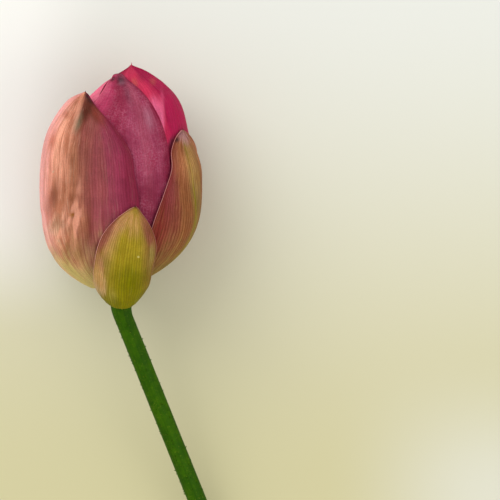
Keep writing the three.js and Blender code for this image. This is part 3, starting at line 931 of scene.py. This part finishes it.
class LOTUS_OT_outer_petals(bpy.types.Operator):
    """Makes the three outermost petals, which have greened and dried"""

    bl_idname = "lotus.outer_petals"
    bl_label = "Outer petals"

    def execute(self, context):
        relief = Relief(
            vein_count=34, swell=0.3, spur=0.5, crumple=(-25, -13, 19, 9, 84, 0.9),
            dents=(
                (-18.7, 32.5, 9, 1.7, 75, 0.5), (-14.9, 34, 9, 2.4, 74, -0.5),
                (-19.2, -10.8, 13, 1.6, 86, 0.6), (-29.8, -6, 6, 2.2, 90, -0.9),
                (-24.4, -29, 5, 1.7, 90, -0.5), (-14.4, -19.8, 10, 2, 84, -0.45),
                (-27.1, -16.7, 5.5, 1, 64, 0.4), (-23.6, -16.2, 5, 0.9, 66, 0.35),
                (-30.4, -16.2, 5, 0.9, 66, 0.35), (-21.6, -13, 1.6, 1.3, 0, -0.5),
                (-20.7, 0.5, 2.5, 1.2, 90, -0.4), (-10.4, -28.9, 4, 0.8, 80, -0.4),
            ),
        )
        build_petals([OUTER_LEFT], relief, "petal_outer_left", OUTER_LEFT_FINISH, 130, 180)
        relief = Relief(vein_count=30, flare=0.35, swell=0.25, spur=0.5)
        build_petals([OUTER_RIGHT], relief, "petal_outer_right", OUTER_RIGHT_FINISH, 130, 150)
        relief = Relief(vein_count=32, swell=0.15)
        build_petals([OUTER_BACK], relief, "petal_outer_back", BACK_OUTER_FINISH, 100, 130)
        return {"FINISHED"}


class LOTUS_OT_middle_petals(bpy.types.Operator):
    """Makes the second layer of petals"""

    bl_idname = "lotus.middle_petals"
    bl_label = "Middle petals"

    def execute(self, context):
        relief = Relief(
            vein_count=30, swell=0.2, crumple=(-1.5, 46, 4, 4, 0, 0.6),
            dents=((-3.6, 48.3, 1.7, 1, 0, -0.9), (0.6, 47.6, 2, 2, 0, 0.3)),
        )
        build_petals([MIDDLE_FRONT], relief, "petal_middle_front", MIDDLE_FRONT_FINISH, 120, 170)
        relief = Relief(vein_count=28)
        build_petals(BACK_MIDDLES, relief, "petal_middle_back", BACK_MIDDLE_FINISH, 80, 110)
        return {"FINISHED"}


class LOTUS_OT_inner_petals(bpy.types.Operator):
    """Makes the petals that close the tip of the bud and those hidden inside it"""

    bl_idname = "lotus.inner_petals"
    bl_label = "Inner petals"

    def execute(self, context):
        relief = Relief(vein_count=28, swell=0.15, spur=1.3, dents=((18.7, 36.5, 9, 1.3, 93, 0.35),))
        build_petals([APEX], relief, "petal_apex", APEX_FINISH, 130, 170)
        relief = Relief(vein_count=24)
        build_petals([INNER_LEFT], relief, "petal_inner_left", INNER_LEFT_FINISH, 90, 120)
        relief = Relief(vein_count=26)
        build_petals(BACK_INNERS, relief, "petal_inner_back", BACK_INNER_FINISH, 80, 110)
        petals = HIDDEN_PETALS + HEART_PETALS
        build_petals(petals, Relief(), "petal_hidden", HIDDEN_FINISH, 50, 70)
        return {"FINISHED"}


# Receptacle and stamens

def plain_material(name, shade, other, scale, roughness):
    """Two shades mixed by noise, with a matching bump."""
    n = Nodes(name)
    spot = n.node("TexCoord").outputs["Object"]
    cloud = n.noise(spot, scale, 4, 0.6)
    fine = n.noise(spot, scale * 6, 2)
    skin = n.mix(n.band(cloud, 0.35, 0.65), shade, other)
    n.flesh(skin, n.band(cloud, 0.3, 0.7, roughness, roughness + 0.15), 0.1, 1.5)
    n.bump(n.math("MULTIPLY_ADD", fine, 0.4, cloud), 0.4, 0.2)
    return n.material


def turned(name, profile, steps):
    """A profile of (radius, y) turned round the Y axis into a closed piece."""
    piece = new_piece(name, "plane", size=1)
    bm = bmesh.new()
    points = [bm.verts.new((radius * MM, y * MM, BUD_HEIGHT * MM)) for radius, y in profile]
    for a, b in zip(points, points[1:]):
        bm.edges.new((a, b))
    bmesh.ops.spin(
        bm, geom=bm.verts[:] + bm.edges[:], cent=(0, 0, BUD_HEIGHT * MM), axis=(0, 1, 0),
        angle=2 * pi, steps=steps, use_merge=True,
    )
    bmesh.ops.remove_doubles(bm, verts=bm.verts[:], dist=1e-6)
    bmesh.ops.recalc_face_normals(bm, faces=bm.faces[:])
    bm.to_mesh(piece.data)
    bm.free()
    return piece


class LOTUS_OT_seed_head(bpy.types.Operator):
    """Makes the receptacle with its neck, and colours the stamens round it"""

    bl_idname = "lotus.seed_head"
    bl_label = "Seed head"

    def execute(self, context):
        neck = [(radius, NECK_BOTTOM + rise) for radius, rise in NECK_FOOT]
        head = [(HEAD_RADIUS - inset, HEAD_TOP - drop) for inset, drop in HEAD_RIM]
        profile = neck + [(NECK_RADIUS, NECK_TOP), (HEAD_RADIUS, HEAD_BASE)] + head + [(0, HEAD_TOP)]
        head = turned("receptacle_dressed", profile, 72)
        green = plain_material("receptacle", "leaf", "khaki", 300, 0.6)
        finish_piece(head, green, "receptacle", "receptacle")
        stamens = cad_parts["stamens"]
        stamens.data.materials.clear()
        stamens.data.materials.append(plain_material("stamens", "anther", "straw", 400, 0.6))
        return {"FINISHED"}


# Stalk

class StalkPath:
    """Leaves the neck along the bud's axis, bends once and runs straight down to the surface."""

    def __init__(self):
        self.start = Vector((0, NECK_BOTTOM - CLEARANCE, BUD_HEIGHT))
        self.first = Vector((0, -1, 0))
        level = Vector((sin(STALK_TURN), -cos(STALK_TURN), 0)) * cos(STALK_DROOP)
        self.last = level + Vector((0, 0, -sin(STALK_DROOP)))
        self.bend = self.first.angle(self.last)
        self.side = (self.last - self.first * cos(self.bend)).normalized()
        foot = self.on_bend(self.bend)
        self.run = (STALK_RADIUS * cos(STALK_DROOP) - foot.z) / self.last.z
        self.length = BEND_RADIUS * self.bend + self.run

    def on_bend(self, angle):
        out = self.first * BEND_RADIUS * sin(angle)
        return self.start + out + self.side * BEND_RADIUS * (1 - cos(angle))

    def at(self, travel):
        """Centre and direction at a distance from the neck."""
        angle = min(travel / BEND_RADIUS, self.bend)
        straight = max(travel - BEND_RADIUS * self.bend, 0)
        heading = self.first * cos(angle) + self.side * sin(angle)
        return self.on_bend(angle) + self.last * straight, heading

    def around(self, travel, angle):
        """Centre, direction and the way out of the stalk at an angle round it."""
        centre, heading = self.at(travel)
        across = heading.cross(self.side).normalized()
        up = across.cross(heading).normalized()
        return centre, heading, across * cos(angle) - up * sin(angle)


def scatter(i, salt):
    """A number from 0 to 1 that looks random but is the same on each run."""
    value = 43758.5 * sin(i * 12.99 + salt * 78.23)
    return value - int(value // 1)


def stalk_material():
    n = Nodes("stalk")
    places = n.node("TexCoord")
    spot, uv = places.outputs["Object"], places.outputs["UV"]
    cloud = n.noise(spot, 140, 4, 0.6)
    stripe = n.noise(n.mapped(uv, (34, 3, 1)), 1.0, 3)
    speck = n.noise(spot, 1400, 2)
    skin = n.mix(n.band(cloud, 0.35, 0.7), "stem", "fresh")
    skin = n.mix(n.times(n.band(stripe, 0.45, 0.65), 0.35), skin, "fir")
    skin = n.mix(n.times(n.band(speck, 0.62, 0.72), 0.5), skin, "fleck")
    end = n.node("Attribute", attribute_name="cut").outputs["Fac"]
    pith = n.mix(n.band(n.noise(spot, 900, 3), 0.4, 0.6), "pith", "wick")
    n.flesh(n.mix(end, skin, pith), n.band(cloud, 0.3, 0.7, 0.42, 0.58), 0.05, 1.2)
    n.shader.inputs["Specular IOR Level"].default_value = STALK_SPECULAR
    n.bump(n.math("MULTIPLY_ADD", speck, 0.5, stripe), 0.5, 0.25)
    return n.material


class LOTUS_OT_stalk(bpy.types.Operator):
    """Makes the bent stalk with its air canals and its prickles"""

    bl_idname = "lotus.stalk"
    bl_label = "Stalk"

    def execute(self, context):
        sizes = context.scene.lotus_sizes
        path = StalkPath()
        material = stalk_material()
        joint = CLEARANCE * JOINT_SHARE
        piece = new_piece(
            "stalk_dressed", "grid", x_subdivisions=sizes.stalk_sides, y_subdivisions=STALK_STEPS, size=2
        )
        for vertex in piece.data.vertices:
            angle = pi * vertex.co.x
            travel = (path.length + joint) * (vertex.co.y + 1) / 2 - joint
            centre, _, out = path.around(travel, angle)
            wave = 1 + 0.012 * noise.noise((cos(angle), sin(angle), travel / 9))
            wave += STALK_FLARE * float(smooth_share(travel, FLARE_LENGTH, 0))
            spot = centre + out * STALK_RADIUS * wave
            vertex.co = Vector((spot.x, spot.y, max(spot.z, 0.0))) * MM
        self.close_ends(piece)
        self.bore_canals(piece, path)
        finish_piece(piece, material, "stalk", "stalk")
        self.prickles(path, material, sizes.prickles)
        return {"FINISHED"}

    def close_ends(self, piece):
        """Joins the seam and closes both ends."""
        bm = bmesh.new()
        bm.from_mesh(piece.data)
        bmesh.ops.remove_doubles(bm, verts=bm.verts[:], dist=1e-7)
        ends = [edge for edge in bm.edges if edge.is_boundary]
        bmesh.ops.holes_fill(bm, edges=ends, sides=0)
        bmesh.ops.recalc_face_normals(bm, faces=bm.faces[:])
        bm.to_mesh(piece.data)
        bm.free()

    def bore_canals(self, piece, path):
        """Cuts the air canals into the cut end and marks its face."""
        for i in range(CANAL_COUNT):
            centre, heading, out = path.around(path.length, -2 * pi * i / CANAL_COUNT)
            drill = new_piece(
                "drill", "cylinder", vertices=20, radius=CANAL_RADIUS * MM,
                depth=2 * CANAL_DEPTH * MM, location=(centre + out * CANAL_RING) * MM,
                rotation=heading.to_track_quat("Z", "Y").to_euler(),
            )
            cut = piece.modifiers.new("Canal", "BOOLEAN")
            cut.object = drill
            cut.solver = "EXACT"
            select_only(piece)
            bpy.ops.object.modifier_apply(modifier=cut.name)
            bpy.data.objects.remove(drill)
        end = piece.data.attributes.new("cut", "FLOAT", "FACE")
        near = [
            float(abs((f.center / MM - centre).dot(heading)) < 0.05 and f.normal.dot(heading) > 0.9)
            for f in piece.data.polygons
        ]
        end.data.foreach_set("value", near)

    def prickles(self, path, material, count):
        """Small cones that lean towards the bud, scattered up to the bare end."""
        piece = new_piece(
            "stalk_prickles", "cone", vertices=7,
            radius1=PRICKLE_RADIUS * MM, radius2=PRICKLE_TIP * MM, depth=PRICKLE_HEIGHT * MM,
        )
        cones = bmesh.new()
        for i in range(count):
            travel = BARE_START + (path.length - BARE_END) * (i + scatter(i, 1)) / count
            centre, heading, out = path.around(travel, 2 * pi * scatter(i, 2))
            lean = (out - heading * 0.35).normalized().to_track_quat("Z", "Y")
            spot = centre + out * (STALK_RADIUS + 0.1)
            size = 0.7 + 0.5 * scatter(i, 3)
            one = piece.data.copy()
            one.transform(Matrix.Translation(spot * MM) @ lean.to_matrix().to_4x4() @ Matrix.Scale(size, 4))
            cones.from_mesh(one)
            bpy.data.meshes.remove(one)
        cones.to_mesh(piece.data)
        cones.free()
        finish_piece(piece, material, "stalk")


# Stage

# The view in millimetres: its width, its centre and the camera's distance above the bud's axis
VIEW_SPAN = 225.5
VIEW_CENTRE = (58.2, -28.9)
VIEW_DISTANCE = 6000.0

# Each light's name, place in metres, size in metres and power in watts
LIGHTS = (("Key", (-1.0, 1.0, 1.6), 1.5, 17), ("Fill", (1.3, -0.6, 1.2), 1.4, 6))
SKY_COLOUR = (1.0, 0.99, 0.97, 1)
SKY_STRENGTH = 0.74


class LOTUS_OT_stage(bpy.types.Operator):
    """Makes the pale surface, the soft lights and the camera"""

    bl_idname = "lotus.stage"
    bl_label = "Stage"

    def execute(self, context):
        self.floor(context)
        self.lights(context)
        self.camera(context)
        return {"FINISHED"}

    def floor(self, context):
        floor = new_piece("surface", "plane", size=24)
        n = Nodes("surface")
        spot = n.node("TexCoord").outputs["Object"]
        place = n.node("SeparateXYZ", spot)
        x, y = place.outputs[0], place.outputs[1]
        skin = n.mix(n.band(y, -0.15, 0.12), "sand", "mist")
        # Painted light: snow brightens the surface at the bud's left, where its shadow falls
        left = n.times(n.band(x, 0.0, -0.05), n.band(y, -0.07, 0.0))
        skin = n.mix(left, skin, "snow")
        right = n.times(n.band(x, 0.09, 0.17), n.band(y, -0.07, -0.14))
        skin = n.mix(right, skin, "chalk")
        n.feed(n.shader.inputs["Base Color"], skin)
        n.feed(n.shader.inputs["Roughness"], n.band(n.noise(spot, 30, 2), 0.3, 0.7, 0.75, 0.85))
        n.shader.inputs["Specular IOR Level"].default_value = 0.1
        floor.data.materials.append(n.material)

    def lights(self, context):
        world = context.scene.world or bpy.data.worlds.new("World")
        context.scene.world = world
        world.use_nodes = True
        sky = world.node_tree.nodes["Background"]
        sky.inputs["Color"].default_value = SKY_COLOUR
        sky.inputs["Strength"].default_value = SKY_STRENGTH
        for name, spot, size, power in LIGHTS:
            bpy.ops.object.light_add(type="AREA", location=spot)
            light = context.object
            light.name = name
            light.data.size = size
            light.data.energy = power
            light.rotation_euler = (-Vector(spot)).to_track_quat("-Z", "Y").to_euler()
            light.visible_camera = False

    def camera(self, context):
        bpy.ops.object.camera_add()
        camera = context.object
        x, y = VIEW_CENTRE
        camera.location = (x * MM, y * MM, (BUD_HEIGHT + VIEW_DISTANCE) * MM)
        camera.rotation_euler = (0, 0, 0)
        camera.data.lens = camera.data.sensor_width * VIEW_DISTANCE / VIEW_SPAN
        camera.data.clip_end = 100
        context.scene.camera = camera
        context.scene.view_settings.view_transform = "Standard"


class LOTUS_PT_panel(bpy.types.Panel):
    """Lists the steps and the settings of the bud"""

    bl_idname = "LOTUS_PT_panel"
    bl_label = "Lotus Bud"
    bl_space_type = "VIEW_3D"
    bl_region_type = "UI"
    bl_category = "Lotus"

    def draw(self, context):
        layout = self.layout
        for settings in (context.scene.lotus_sizes, context.scene.lotus_colours):
            for key in settings.__annotations__:
                layout.prop(settings, key)
        for operator in OPERATORS:
            layout.operator(operator.bl_idname)


OPERATORS = (
    LOTUS_OT_sepals, LOTUS_OT_outer_petals, LOTUS_OT_middle_petals, LOTUS_OT_inner_petals,
    LOTUS_OT_seed_head, LOTUS_OT_stalk, LOTUS_OT_stage,
)
CLASSES = (LotusColours, LotusSizes, *OPERATORS, LOTUS_PT_panel)


def register():
    for cls in CLASSES:
        bpy.utils.register_class(cls)
    bpy.types.Scene.lotus_colours = PointerProperty(type=LotusColours)
    bpy.types.Scene.lotus_sizes = PointerProperty(type=LotusSizes)


def unregister():
    del bpy.types.Scene.lotus_sizes
    del bpy.types.Scene.lotus_colours
    for cls in reversed(CLASSES):
        bpy.utils.unregister_class(cls)


def main():
    register()
    bpy.ops.lotus.sepals()
    bpy.ops.lotus.outer_petals()
    bpy.ops.lotus.middle_petals()
    bpy.ops.lotus.inner_petals()
    bpy.ops.lotus.seed_head()
    bpy.ops.lotus.stalk()
    bpy.ops.lotus.stage()


if __name__ == "__main__":
    main()
